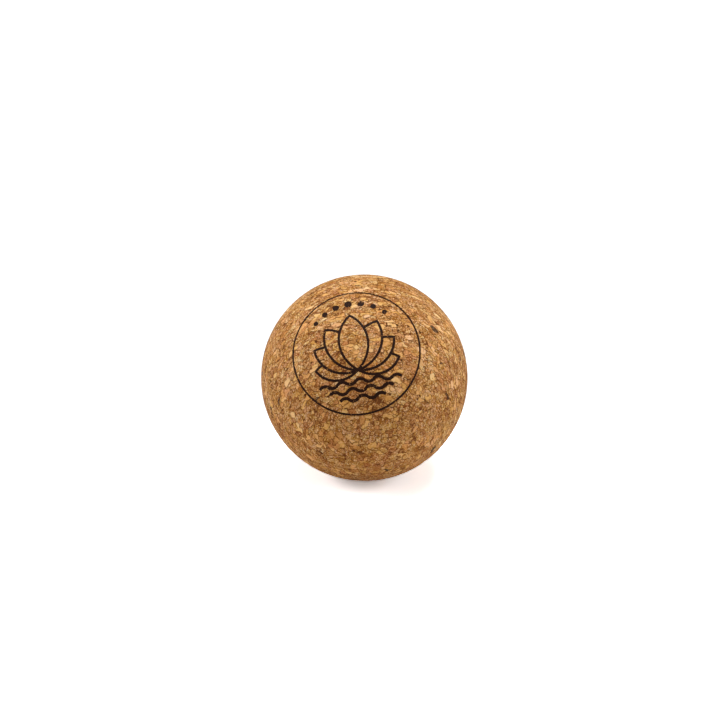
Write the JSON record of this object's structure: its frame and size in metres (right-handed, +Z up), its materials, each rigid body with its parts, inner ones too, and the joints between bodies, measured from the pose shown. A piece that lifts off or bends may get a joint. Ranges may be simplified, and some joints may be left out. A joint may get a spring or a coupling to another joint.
{
  "type": "massage ball",
  "caption": "Solid ball of agglomerated cork for self-massage, with a round printed lotus badge in dark ink.",
  "frame": {"origin": "centre of the ball", "axes": "+Z up from the point that the ball rests on; -Y is the badge's side, and the badge's axis points 44 degrees above -Y; +X is to the right of the badge as it is seen from the front"},
  "size_m": [0.065, 0.065, 0.065],
  "materials": {
    "cork": "sanded agglomerated cork, matt",
    "pale_cork": "sanded pale cork granule, matt",
    "honey_cork": "sanded honey-coloured cork granule, matt",
    "tan_cork": "sanded tan cork granule, matt",
    "russet_cork": "sanded reddish cork granule, matt",
    "brown_cork": "sanded dark brown cork granule, matt",
    "bark_cork": "hard dark bark inclusion, matt",
    "ink": "pad-printed dark ink, satin"
  },
  "bodies": {
    "root": {"bark_granules": "bark_cork", "brown_granules": "brown_cork", "cork_body": "cork", "honey_granules": "honey_cork", "pale_granules": "pale_cork", "printed_dot_1": "ink", "printed_dot_2": "ink", "printed_dot_3": "ink", "printed_dot_4": "ink", "printed_dot_5": "ink", "printed_dot_6": "ink", "printed_dot_7": "ink", "printed_petal_1": "ink", "printed_petal_2": "ink", "printed_petal_3": "ink", "printed_petal_4": "ink", "printed_petal_5": "ink", "printed_petal_6": "ink", "printed_petal_7": "ink", "printed_ring": "ink", "printed_wave_1": "ink", "printed_wave_2": "ink", "printed_wave_3": "ink", "russet_granules": "russet_cork", "tan_granules": "tan_cork"}
  },
  "joints": []
}
